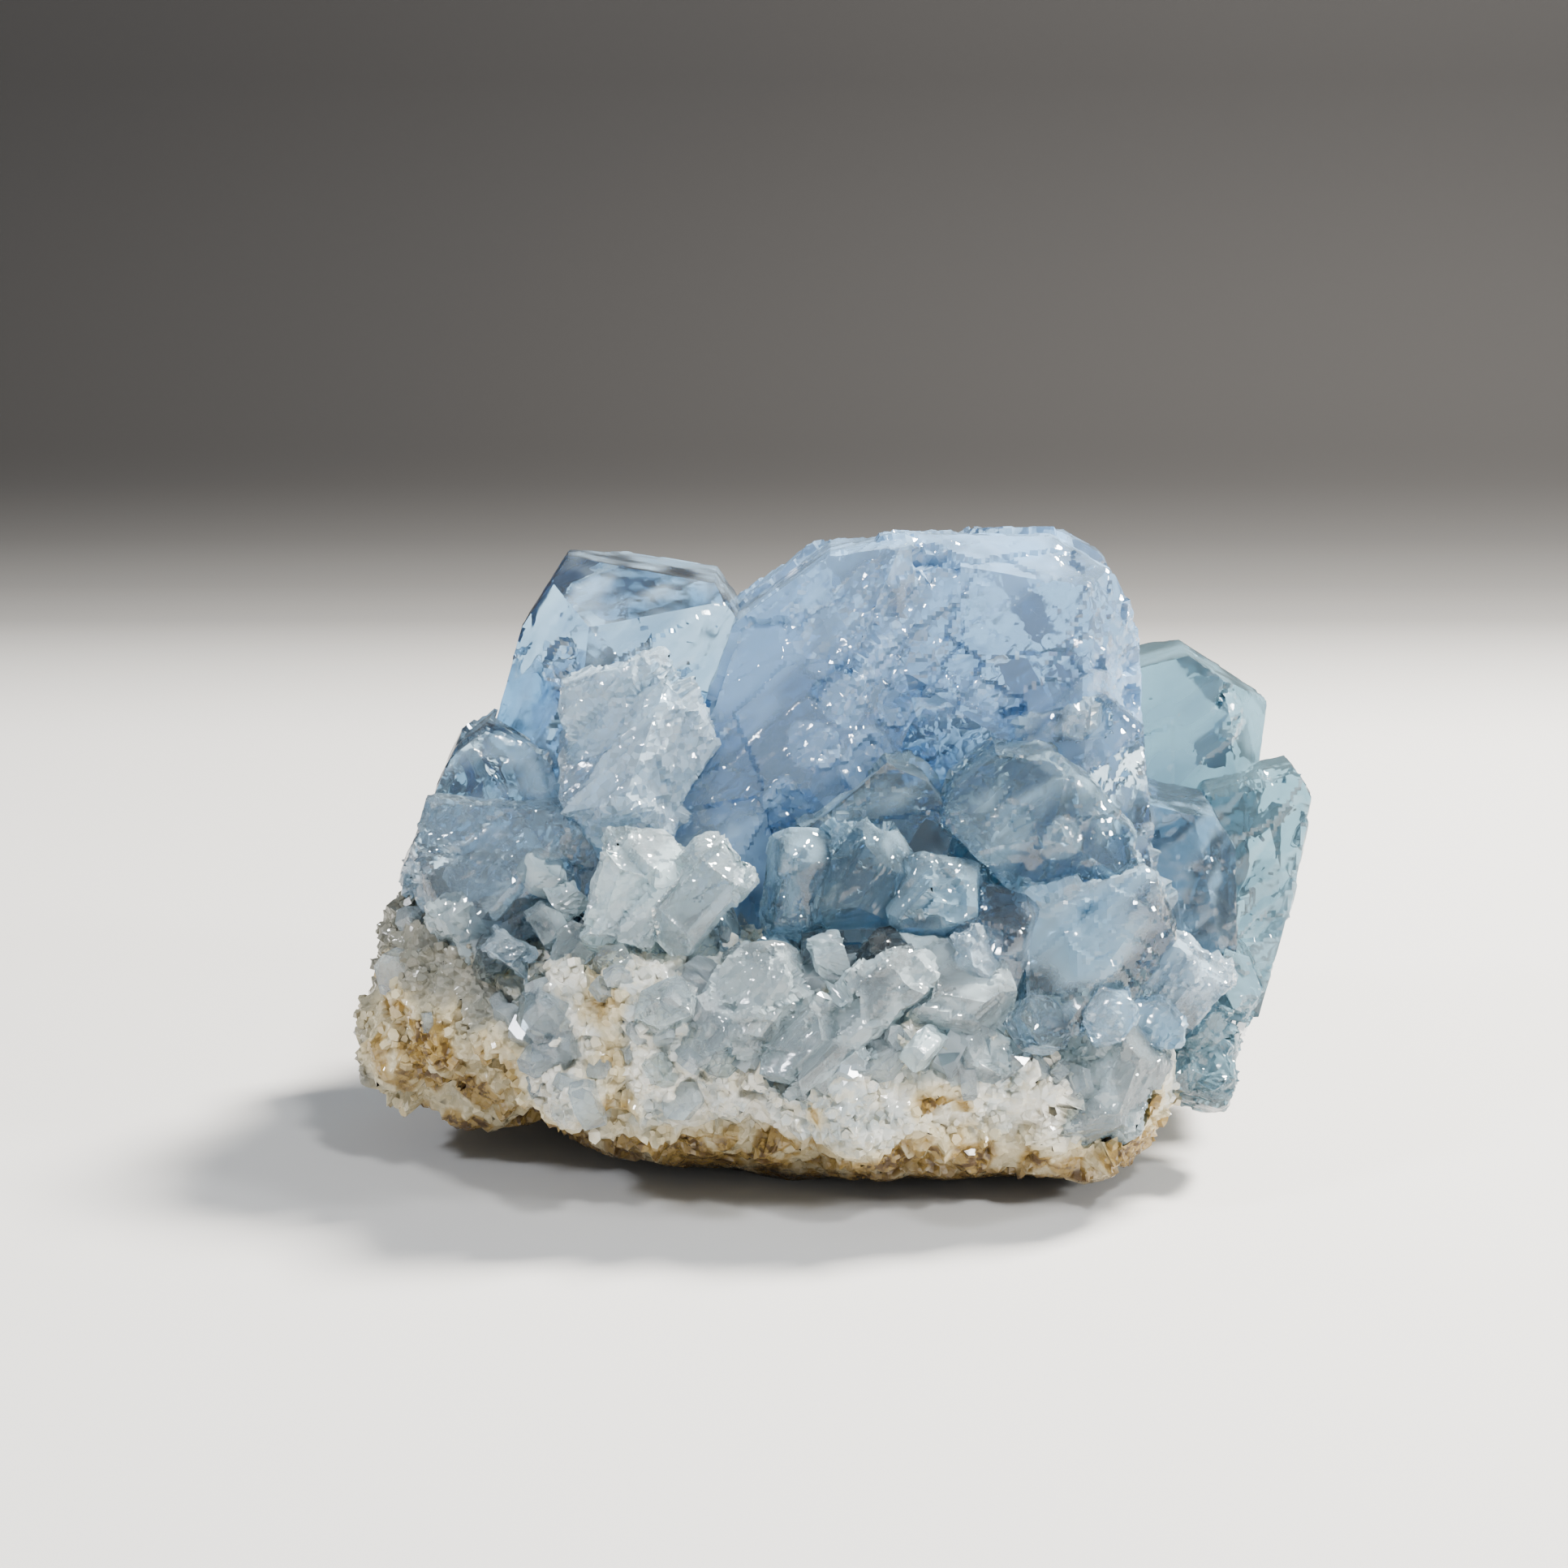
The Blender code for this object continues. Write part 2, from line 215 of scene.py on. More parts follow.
def read_points(mesh):
    """The mesh's points in mm, a row for each."""
    spots = np.empty(len(mesh.vertices) * 3)
    mesh.vertices.foreach_get("co", spots)
    return spots.reshape(-1, 3) / MM


def read_normals(mesh):
    normals = np.empty(len(mesh.vertices) * 3, np.float32)
    mesh.vertex_normals.foreach_get("vector", normals)
    return normals.reshape(-1, 3).astype(float)


def write_share(mesh, name, values):
    """A number for each point that the materials read by its name."""
    share = mesh.attributes.new(name, "FLOAT", "POINT")
    share.data.foreach_set("value", np.asarray(values, np.float32))


def push(mesh, heights):
    """Move each point along its normal by its height in mm."""
    spots = read_points(mesh) + read_normals(mesh) * heights[:, None]
    mesh.vertices.foreach_set("co", (spots * MM).ravel())
    mesh.update()


def crisp(mesh, turn=SHARP_TURN):
    """Smooth shading, but for the folds that are steeper than the turn in degrees."""
    mesh.shade_smooth()
    mesh.set_sharp_from_angle(angle=math.radians(turn))


def finish_piece(item, material, nodes):
    """Paint the piece and attach it to the root body; it stands in for the named CAD nodes, which it hides.
    """
    item.data.materials.clear()
    item.data.materials.append(material)
    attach(item, "root")
    item.data.validate()
    if nodes:
        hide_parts(*nodes)


# Materials

def linear(code):
    """A colour written as sRGB hex, as the linear values that the shader works in."""
    parts = [int(code[place:place + 2], 16) / 255 for place in (1, 3, 5)]
    lit = [part / 12.92 if part <= 0.04045 else ((part + 0.055) / 1.055) ** 2.4 for part in parts]
    return (*lit, 1.0)


def node(tree, kind, settings=None, **links):
    """Add a node. Settings are its own options; links are socket values, or sockets to link from."""
    made = tree.nodes.new(kind)
    for key, value in (settings or {}).items():
        setattr(made, key, value)
    for key, value in links.items():
        name = key.replace("_", " ")
        socket = made.inputs[int(key[1:])] if key[0] == "i" and key[1:].isdigit() else made.inputs[name]
        if isinstance(value, bpy.types.NodeSocket):
            tree.links.new(value, socket)
        else:
            socket.default_value = value
    return made


def new_material(name):
    material = bpy.data.materials.new(name)
    material.use_nodes = True
    tree = material.node_tree
    tree.nodes.clear()
    place = node(tree, "ShaderNodeTexCoord").outputs["Object"]
    output = node(tree, "ShaderNodeOutputMaterial")
    return material, tree, place, output


def noise_of(tree, place, size, detail, roughness):
    """Noise whose features are about size mm, on the object's own coordinates."""
    return node(tree, "ShaderNodeTexNoise", Vector=place, Scale=1 / (size * MM), Detail=detail,
                Roughness=roughness).outputs["Fac"]


def ramp(tree, value, low, high, out_low=0.0, out_high=1.0):
    """A smooth step of the value from low to high."""
    return node(tree, "ShaderNodeMapRange", {"interpolation_type": "SMOOTHSTEP"}, Value=value,
                From_Min=low, From_Max=high, To_Min=out_low, To_Max=out_high).outputs["Result"]


def maths(tree, operation, one, other):
    return node(tree, "ShaderNodeMath", {"operation": operation}, i0=one, i1=other).outputs["Value"]


def blend(tree, share, one, other):
    """A mix of two colours; each is a socket or a colour."""
    return node(tree, "ShaderNodeMix", {"data_type": "RGBA"}, i0=share, i6=one, i7=other).outputs[2]


def share_of(tree, name):
    """The number that write_share left on the mesh under that name."""
    return node(tree, "ShaderNodeAttribute", {"attribute_name": name}).outputs["Fac"]


def scale_relief(tree, place, size):
    """Height of small flat scales of about size mm, each tilted its own way, in parts of that size."""
    spots = node(tree, "ShaderNodeVectorMath", {"operation": "SCALE"}, i0=place, Scale=1 / (size * MM))
    cells = node(tree, "ShaderNodeTexVoronoi", {"feature": "F1"}, Vector=spots.outputs["Vector"], Scale=1.0)
    tilt = node(tree, "ShaderNodeVectorMath", {"operation": "SUBTRACT"}, i0=cells.outputs["Color"],
                i1=(0.5, 0.5, 0.5))
    away = node(tree, "ShaderNodeVectorMath", {"operation": "SUBTRACT"}, i0=spots.outputs["Vector"],
                i1=cells.outputs["Position"])
    return node(tree, "ShaderNodeVectorMath", {"operation": "DOT_PRODUCT"}, i0=tilt.outputs["Vector"],
                i1=away.outputs["Vector"]).outputs["Value"]


def celestite(name, body, milk, clear=(0.50, 0.97), milky_from=(0.45, 0.62), polish=(0.015, 0.14),
              tint="#7EC6E4", depth=75.0, glitter=0.0):
    """Celestite is strontium sulphate: glassy, IOR 1.62, pale blue through its depth. Clear zones show
    what is behind; zones full of tiny fluid bubbles and cleavage cracks look milky. Clear is how much
    light passes where it is milky and where it isn't, milky_from the range of the cloud share where
    milk sets in, polish the roughness of fresh and of etched faces, depth how fast tint deepens (per
    metre) and glitter how strongly the scales of its broken skin are tilted."""
    material, tree, place, output = new_material(name)
    # Cloudy growth zones and broken skin: the eye reads them as the crystal's milky body
    milky = maths(tree, "MAXIMUM", ramp(tree, share_of(tree, "cloud"), *milky_from),
                  maths(tree, "MULTIPLY", share_of(tree, "broken"), 0.5))
    colour = blend(tree, milky, linear(body), linear(milk))
    # Etched patches scatter the light softly; fresh faces stay glossy
    etched = share_of(tree, "etched")
    shader = node(tree, "ShaderNodeBsdfPrincipled", Base_Color=colour, IOR=1.62,
                  Roughness=ramp(tree, etched, 0.0, 1.0, *polish),
                  Transmission_Weight=ramp(tree, milky, 0.0, 1.0, clear[1], clear[0]))
    if glitter:
        # Cleavage scales too small to model catch the light one by one
        uneven = maths(tree, "MAXIMUM", maths(tree, "MULTIPLY", etched, 0.15), share_of(tree, "broken"))
        relief = maths(tree, "MULTIPLY", scale_relief(tree, place, SCALE_SIZE), uneven)
        bump = node(tree, "ShaderNodeBump", Strength=glitter, Distance=0.8 * SCALE_SIZE * MM, Height=relief)
        tree.links.new(bump.outputs["Normal"], shader.inputs["Normal"])
    tree.links.new(shader.outputs["BSDF"], output.inputs["Surface"])
    if depth:
        # Blue grows with the length of the light's way through the crystal
        depths = node(tree, "ShaderNodeVolumeAbsorption", Color=linear(tint), Density=depth)
        tree.links.new(depths.outputs["Volume"], output.inputs["Volume"])
    return material


# Iron stains on the crust: spot in mm, radius in mm, strength
OCHRE_SPOTS = (
    ((-21.2, -10.5, 6.4), 3.8, 1.0), ((-19.2, -11.5, 4.4), 3.6, 1.0), ((-23.0, -8.0, 8.6), 3.0, 0.9),
    ((-17.2, -12.8, 7.0), 2.6, 0.8), ((-15.8, -13.0, 3.8), 3.0, 0.9), ((-22.0, -4.0, 5.0), 4.0, 0.8),
    ((-11.9, -13.6, 12.8), 1.5, 1.0), ((-11.8, -15.5, 11.2), 1.4, 0.6), ((-11.7, -16.5, 8.6), 1.6, 0.55),
    ((-11.5, -16.2, 6.0), 1.5, 0.8), ((-17.2, -10.4, 11.4), 0.6, 1.0), ((-22.6, -8.6, 11.2), 0.8, 0.8),
    ((-1.3, -17.4, 6.3), 0.8, 0.9), ((2.0, -17.3, 9.7), 0.8, 0.9), ((4.4, -17.1, 6.8), 1.3, 1.0),
    ((5.6, -16.6, 6.2), 0.9, 0.8), ((15.4, -12.6, 5.0), 1.2, 1.0), ((-15.0, 10.0, 5.0), 4.5, 0.8),
    ((8.0, 13.0, 6.0), 3.6, 0.7), ((17.0, 6.0, 6.0), 3.0, 0.6), ((-4.0, 15.0, 8.0), 2.0, 0.6))


def crust_material(name, clear):
    """The crust is fused sugary celestite with a little carbonate: white grains that glitter, greyer in
    random patches, with rusty ochre where iron water dried, grey dirt and painted shade at the left end,
    and dirt and painted shade along the resting edge. Clear is how much light passes an unstained grain;
    the solid crust passes none and has crumbs drawn on it."""
    material, tree, place, output = new_material(name)
    patches = noise_of(tree, place, 3.4, detail=3.0, roughness=0.55)
    specks = noise_of(tree, place, 0.6, detail=2.0, roughness=0.7)
    colour = blend(tree, ramp(tree, patches, 0.38, 0.62), linear("#AEB7B6"), linear("#ECEADF"))
    colour = blend(tree, ramp(tree, specks, 0.45, 0.62, 0.0, 0.5), colour, linear("#CDC3A4"))
    spots = node(tree, "ShaderNodeSeparateXYZ", Vector=place)
    # The left end is darker and greyer than the clean ridge at the front: partly its greyer, dirtier stone,
    # partly painted shade on the side turned from the key light
    grey_dirt_and_shade = ramp(tree, spots.outputs["X"], -19.5 * MM, -12.5 * MM, 0.88, 0.0)
    colour = blend(tree, grey_dirt_and_shade, colour, linear("#6E6C5E"))
    stain = share_of(tree, "stain")
    colour = blend(tree, ramp(tree, stain, 0.02, 0.34), colour, linear("#C9BC98"))
    colour = blend(tree, ramp(tree, stain, 0.34, 0.66), colour, linear("#A2874E"))
    dark = maths(tree, "MULTIPLY", ramp(tree, stain, 0.45, 0.90), ramp(tree, specks, 0.46, 0.58))
    colour = blend(tree, dark, colour, linear("#5A411B"))
    # Darker brown towards the resting edge: partly dirt, partly painted shade under the overhang
    dirt_and_foot_shade = ramp(tree, spots.outputs["Z"], 0.3 * MM, 3.4 * MM, 0.8, 0.0)
    colour = blend(tree, dirt_and_foot_shade, colour, linear("#56401F"))
    shader = node(tree, "ShaderNodeBsdfPrincipled", Base_Color=colour, IOR=1.6,
                  Roughness=ramp(tree, specks, 0.40, 0.60, 0.05, 0.32))
    if clear:
        tree.links.new(ramp(tree, stain, 0.0, 0.4, clear, 0.0), shader.inputs["Transmission Weight"])
    else:
        bump = node(tree, "ShaderNodeBump", Strength=0.8, Distance=0.9 * CRUMB_SIZE * MM,
                    Height=scale_relief(tree, place, CRUMB_SIZE))
        tree.links.new(bump.outputs["Normal"], shader.inputs["Normal"])
    tree.links.new(shader.outputs["BSDF"], output.inputs["Surface"])
    return material


# Each kind of celestite: the colours of its clear body and of its milk, and what else sets it apart
KINDS = {
    "glass_blue": ("#CFE2F0", "#98BEDC", dict(clear=(0.66, 0.98), milky_from=(0.42, 0.82), depth=110.0)),
    "clear_blue": ("#DCEEF8", "#A2CAE4", dict(clear=(0.58, 0.97), milky_from=(0.44, 0.80))),
    "milky_blue": ("#AACAE6", "#86AFD6", dict(clear=(0.40, 0.80), milky_from=(0.34, 0.74), glitter=0.6)),
    "glitter_blue": ("#D8ECF8", "#BAD8EC", dict(clear=(0.54, 0.92), glitter=0.9, milky_from=(0.42, 0.76))),
    # A lighter copy of glitter_blue, with the strongest glitter: painted light, as if the left front
    # crystal's broken face stood in full light
    "painted_light_spark_blue": ("#DDF0FC", "#C2E2F6", dict(clear=(0.44, 0.88), glitter=1.0, milky_from=(0.40, 0.72))),
    # A greyer, darker copy of the blue: painted shade for the crystals that sit in shade, also used on the
    # right round and rear edge crystals
    "shade_blue": ("#BCD8E8", "#90B6CC", dict(clear=(0.60, 0.95), tint="#7FBACF", milky_from=(0.42, 0.76))),
    # A darker copy of the blue with a deeper tint: painted shade for the right block, which sits in shade
    "shaded_deep_blue": ("#A8C6DA", "#749FBE", dict(clear=(0.62, 0.95), tint="#6DB0D2", depth=95.0)),
    "teal": ("#96BAC8", "#7698A8", dict(clear=(0.50, 0.88), tint="#7EBBCC", depth=140.0,
                                        milky_from=(0.42, 0.78))),
    "frost_white": ("#DAEAF0", "#C0D6DC", dict(clear=(0.42, 0.86), polish=(0.02, 0.18), depth=0.0,
                                               glitter=0.9, milky_from=(0.44, 0.78))),
    "druse_white": ("#D6E4EB", "#BACAD2", dict(clear=(0.40, 0.78), polish=(0.03, 0.20), depth=0.0)),
    # Dark grey glass: painted shade, for a clear crystal that shows the shadowed hollow behind it
    "smoky": ("#A8B2B8", "#808C94", dict(clear=(0.90, 0.99), tint="#566068", depth=420.0)),
}
SKINS = {name: celestite(name, body, milk, **rest) for name, (body, milk, rest) in KINDS.items()}

# Each crystal: its skin, its slot, how much of it is broken, how bold its growth steps and
# its low relief are, and how many cracks are sealed in it
CRYSTALS = {
    "crystal_centre_pair": ("milky_blue", "blue_celestite", 0.03, 0.9, 0.75, 14),
    "crystal_left_tall": ("glass_blue", "blue_celestite", 0.03, 0.5, 0.25, 11),
    "crystal_left_front": ("painted_light_spark_blue", "blue_celestite", 0.60, 1.4, 0.90, 0),
    "crystal_left_block": ("clear_blue", "blue_celestite", 0.30, 0.8, 0.60, 2),
    "crystal_left_low": ("glitter_blue", "blue_celestite", 0.40, 0.9, 0.90, 2),
    "crystal_right_clear": ("clear_blue", "blue_celestite", 0.25, 1.0, 0.80, 4),
    "crystal_right_round": ("shade_blue", "blue_celestite", 0.22, 0.8, 0.90, 3),
    "crystal_back_right": ("teal", "teal_celestite", 0.15, 0.6, 0.40, 4),
    "crystal_far_right": ("teal", "teal_celestite", 0.20, 0.8, 0.40, 3),
    "crystal_right_block": ("shaded_deep_blue", "shaded_celestite", 0.12, 0.9, 0.40, 3),
    "crystal_low_striated": ("clear_blue", "blue_celestite", 0.30, 2.4, 0.90, 2),
    "crystal_low_shiny": ("glitter_blue", "blue_celestite", 0.45, 1.2, 0.90, 0),
    "crystal_low_dome": ("glass_blue", "blue_celestite", 0.15, 0.6, 0.60, 1),
    # These crystals sit in shade, and their greyer skin is painted shade
    "crystal_shade_peak": ("shade_blue", "shaded_celestite", 0.22, 0.6, 0.90, 1),
    "crystal_shade_prism": ("shade_blue", "shaded_celestite", 0.20, 0.6, 0.60, 1),
    "crystal_shade_block": ("shade_blue", "shaded_celestite", 0.25, 0.6, 0.60, 0),
    "crystal_shade_step": ("shade_blue", "shaded_celestite", 0.30, 1.0, 0.60, 0),
    "crystal_white_left": ("frost_white", "white_celestite", 0.62, 0.5, 1.30, 0),
    "crystal_white_right": ("frost_white", "white_celestite", 0.55, 0.5, 1.20, 0),
    "crystal_ridge_left": ("frost_white", "white_celestite", 0.60, 0.5, 1.00, 0),
    "crystal_ridge_prism": ("frost_white", "white_celestite", 0.46, 1.2, 1.10, 0),
    "crystal_ridge_right": ("frost_white", "white_celestite", 0.55, 0.8, 1.00, 0),
    "crystal_ridge_foot": ("frost_white", "white_celestite", 0.55, 0.6, 1.00, 0),
    "crystal_edge_upper": ("teal", "teal_celestite", 0.40, 0.6, 0.70, 1),
    "crystal_edge_lower": ("teal", "teal_celestite", 0.45, 0.6, 0.70, 1),
    "crystal_rear_left": ("clear_blue", "blue_celestite", 0.25, 0.9, 0.60, 4),
    "crystal_rear_middle": ("milky_blue", "blue_celestite", 0.30, 0.9, 0.80, 4),
    "crystal_rear_right": ("clear_blue", "blue_celestite", 0.25, 0.9, 0.60, 4),
    "crystal_rear_edge": ("shade_blue", "blue_celestite", 0.40, 0.6, 0.60, 1),
    "crystal_rear_foot": ("glitter_blue", "blue_celestite", 0.40, 0.6, 0.70, 1),
}

# Where faces are broken into small glittering facets: centre and radius in mm
BROKEN_SPOTS = (
    ((-9.2, -8.3, 24.6), 3.0), ((-12.9, -7.6, 24.0), 2.2), ((-10.5, -9.9, 21.2), 2.4),
    ((-11.3, -9.8, 19.3), 2.4), ((-14.5, -3.6, 25.7), 1.4), ((-13.9, -5.5, 22.5), 1.6),
    ((4.5, -4.7, 31.0), 1.3), ((4.8, -5.2, 29.2), 1.5), ((4.6, -5.4, 27.5), 1.6),
    ((3.7, -5.7, 25.7), 1.5), ((2.6, -6.1, 24.1), 1.2), ((0.9, -6.0, 29.6), 1.8),
    ((-0.8, -6.4, 27.6), 2.2), ((1.6, -6.3, 27.0), 2.0), ((0.0, -7.5, 24.8), 1.8),
    ((1.0, -7.1, 21.6), 1.8), ((-3.0, -8.0, 19.3), 1.6), ((-1.4, -7.8, 22.6), 1.5),
    ((7.6, -6.3, 24.5), 0.9), ((6.6, -6.2, 24.9), 0.8), ((8.4, -6.5, 24.1), 0.8),
    ((14.4, -3.7, 28.3), 0.9), ((14.7, -4.0, 26.0), 0.8), ((14.7, -4.1, 24.1), 0.9),
    ((12.4, -7.6, 23.8), 1.2), ((8.1, -12.7, 19.6), 1.2), ((10.6, -13.0, 19.0), 1.2),
    ((4.5, -14.7, 16.6), 1.3), ((17.5, -10.0, 10.9), 1.6), ((21.5, 2.0, 22.0), 1.6),
    ((20.9, 1.5, 23.3), 1.3))


# Small crystals that stand alone: skin, slot, centre, length, width and height in mm, turns in degrees
SMALL_CRYSTALS = (
    ("frost_white", "white", (-0.8, -14.4, 13.2), (3.2, 2.0, 1.6), (10, 75, 20)),
    # This small clear crystal is painted dark: painted shade from the hollow behind it
    ("smoky", "shaded", (2.0, -14.6, 13.5), (2.9, 2.5, 2.2), (35, 20, 50)),
    ("frost_white", "white", (-15.0, -9.4, 16.2), (2.5, 1.9, 1.4), (30, 25, 12)),
    ("frost_white", "white", (-13.9, -9.8, 15.0), (2.7, 2.1, 1.5), (12, 58, 30)),
    ("frost_white", "white", (-14.7, -10.0, 13.7), (3.0, 2.2, 1.6), (50, 40, 75)),
    ("frost_white", "white", (-13.4, -11.3, 12.8), (3.2, 2.3, 1.6), (60, -35, 10)),
    ("frost_white", "white", (-11.2, -14.2, 12.6), (3.2, 2.0, 1.2), (40, 50, 100)),
    ("glitter_blue", "blue", (-16.6, -11.2, 12.6), (3.4, 2.4, 1.4), (20, 35, 60)),
    ("frost_white", "white", (-19.4, -9.4, 13.3), (4.2, 2.8, 1.9), (-20, 62, 15)),
    ("frost_white", "white", (-8.6, -16.2, 11.4), (3.4, 2.2, 1.3), (50, -20, 20)),
    ("frost_white", "white", (-6.6, -16.6, 9.9), (3.8, 2.2, 1.2), (55, -35, -10)),
    ("frost_white", "white", (-2.2, -17.2, 9.6), (4.6, 1.8, 1.2), (40, -44, 4)),
    ("frost_white", "white", (-0.4, -17.3, 8.6), (3.8, 1.6, 1.1), (10, -40, -6)),
    ("frost_white", "white", (6.6, -16.2, 9.0), (3.6, 2.2, 1.3), (50, 30, 20)),
    ("frost_white", "white", (3.8, -17.0, 9.6), (3.2, 2.0, 1.1), (-55, 10, 70)),
    ("clear_blue", "blue", (9.4, -15.4, 10.2), (3.6, 2.6, 1.4), (60, 15, 30)),
    ("clear_blue", "blue", (12.9, -14.8, 10.4), (3.6, 2.4, 1.4), (50, -50, 30)),
    ("clear_blue", "blue", (15.4, -12.6, 9.4), (3.6, 2.4, 1.4), (50, 40, -30)),
    ("teal", "teal", (17.8, -9.6, 8.6), (4.0, 3.0, 1.5), (50, -30, -40)),
    ("teal", "teal", (19.9, -7.2, 9.8), (3.8, 2.6, 1.5), (20, 60, -30)),
    ("teal", "teal", (18.6, -9.0, 6.0), (3.8, 2.8, 1.5), (50, 20, -20)),
    ("glitter_blue", "blue", (6.4, -15.2, 13.8), (3.2, 2.4, 1.3), (55, 40, 20)),
    ("shade_blue", "shaded", (-6.4, -11.4, 14.0), (3.6, 2.4, 1.4), (40, 70, 20)),
    ("shade_blue", "shaded", (-3.4, -12.4, 13.0), (3.0, 2.0, 1.2), (30, 50, 80)),
    ("shade_blue", "shaded", (-9.6, -12.6, 13.6), (2.8, 2.0, 1.2), (50, 20, 50)))


def edge_share(mesh):
    """How sharply the skin folds at each point: 0 on a flat face, towards 1 on a crisp edge."""
    corners = np.empty(len(mesh.loops), np.int32)
    mesh.loops.foreach_get("vertex_index", corners)
    sizes = np.empty(len(mesh.polygons), np.int32)
    mesh.polygons.foreach_get("loop_total", sizes)
    faces = np.empty(len(mesh.polygons) * 3, np.float32)
    mesh.polygons.foreach_get("normal", faces)
    lean = (np.repeat(faces.reshape(-1, 3), sizes, axis=0) * read_normals(mesh)[corners]).sum(axis=1)
    least = np.ones(len(mesh.vertices))
    np.minimum.at(least, corners, lean)
    return np.clip(4 * (1 - least), 0, 1)


def torn_share(points, spots, broken, seed):
    """Where the skin is broken: near the named spots, and in patches elsewhere."""
    edge = 1.0 - 2.0 * broken
    patches = hills(points, 3.8, seed) + 0.35 * hills(points, 1.3, seed + 1)
    share = between(patches, edge, edge + 0.15)
    ragged = 1.0 + 0.35 * hills(points, 1.4, seed + 2)
    for spot, radius in spots:
        away = np.linalg.norm(points - np.array(spot), axis=1)
        share = np.maximum(share, 1 - between(away / (radius * ragged), 0.85, 1.0))
    return share


def weather(mesh, broken, steps, relief, seed, spots=(), lean=38.0, grain=1.0):
    """Growth steps on the whole faces, facets where it is broken, and small chips along the edges. The
    patterns lean by that many degrees, and grain is their size against that on a large crystal."""
    points = read_points(mesh)
    edges = edge_share(mesh)
    torn = torn_share(points, spots, broken, seed + 20)
    stepped = between(hills(points, 4.5, seed), 0.0, 0.1) * (1 - edges)
    rise = steps * stepped * (0.08 * terraces(points, 37 * seed % 180, 40, 1.5, seed)
                              + 0.04 * terraces(points, 37 * seed % 180 + 80, 20, 0.5, seed + 7))
    low = relief * (0.13 * facets(points, 5.5 * grain, seed + 33, 0.6, lean, 1.8)
                    + 0.14 * facets(points, 1.6 * grain, seed + 30, 0.6, lean, 4.5)
                    + 0.12 * facets(points, 0.6 * grain, seed + 35, 0.6, lean, 4.0)) * (1 - 0.6 * edges)
    chips = (0.46 * facets(points, 2.8 * grain, seed + 40, 0.5, lean, 2.6)
             + 0.34 * facets(points, 1.0 * grain, seed + 50, 0.45, lean, 3.2)
             + 0.24 * facets(points, 0.5 * grain, seed + 60, 0.4, lean, 2.4))
    worn = grain * edges * between(hills(points, 0.9, seed + 70), 0.0, 0.5) * (
        0.05 + 0.10 * cell_random(np.floor(points / 0.7), seed))
    push(mesh, rise + low + torn * (chips - 0.12) - worn)
    write_share(mesh, "broken", torn)
    drawn = leaned(points, lean, 3.0)
    write_share(mesh, "cloud", 0.5 + 0.24 * hills(drawn, 5.0, seed) + 0.16 * hills(drawn, 1.2, seed + 1)
                + 0.06 * hills(drawn, 0.5, seed + 2))
    etching = hills(points, 2.2, seed + 3) + 0.5 * hills(points, 0.8, seed + 4)
    write_share(mesh, "etched", between(etching, 0.1, 0.3))


def veils(item, count, seed):
    """Thin flat cracks inside the crystal, along its cleavage, that flash and cloud it."""
    draw = np.random.default_rng(seed)
    shape = bmesh.new()
    shape.from_mesh(item.data)
    skin = BVHTree.FromBMesh(shape)
    low, high = (np.array(corner) for corner in zip(*[(min(side), max(side)) for side in
                                                      read_points(item.data).T]))
    ways = [direction(draw.uniform(0, 180), draw.uniform(-20, 20)) for _ in range(2)]
    ways.append(np.cross(*ways))
    made = 0
    for _ in range(CRACK_TRIES * count):
        if made == count:
            break
        centre = Vector(draw.uniform(low, high)) * MM
        touch, out, _, depth = skin.find_nearest(centre)
        if depth < CRACK_DEPTH * MM or (centre - touch).dot(out) > 0:
            continue
        normal = Vector(ways[draw.integers(3)] + draw.normal(0, 0.12, 3)).normalized()
        side = normal.orthogonal().normalized()
        other = normal.cross(side)
        reach = min(depth * draw.uniform(1.2, 2.8), CRACK_REACH * MM)
        corners = []
        turns = np.sort(draw.uniform(0, math.tau, CRACK_CORNERS))
        for turn in turns:
            spoke = side * math.cos(turn) + other * 0.6 * math.sin(turn)
            spot = centre + spoke * reach * draw.uniform(0.6, 1)
            touch, out, _, gap = skin.find_nearest(spot)
            if gap < CRACK_GAP * MM or (spot - touch).dot(out) > 0:
                break
            corners.append(spot)
        if len(corners) < CRACK_CORNERS or np.diff(turns).max() > CRACK_OPENING:
            continue
        rings = [[shape.verts.new(spot + normal * lift * MM) for spot in corners]
                 for lift in (-CRACK_HALF, CRACK_HALF)]
        shape.faces.new(rings[0])
        shape.faces.new(rings[1][::-1])
        for place in range(CRACK_CORNERS):
            after = (place + 1) % CRACK_CORNERS
            shape.faces.new((rings[0][after], rings[0][place], rings[1][place], rings[1][after]))
        made += 1
    shape.to_mesh(item.data)
    shape.free()


def make_crystal(name, skin, slot, broken, steps, relief, cracks, seed):
    """The finished crystal that stands in for the CAD node of that name."""
    size = max(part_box(name)[1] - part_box(name)[0]) / MM
    cell = SMALL_CELL if size < SMALL_SIZE else CRYSTAL_CELL
    item = fine_skin("celestite_" + name.removeprefix("crystal_"), cleaned(name, SEAM), cell)
    weather(item.data, broken, steps, relief, seed, BROKEN_SPOTS, grain=1.0 if size > SMALL_SIZE else 0.7)
    veils(item, cracks, seed)
    crisp(item.data)
    finish_piece(item, SKINS[skin], [name])


# The crust and what grows on it

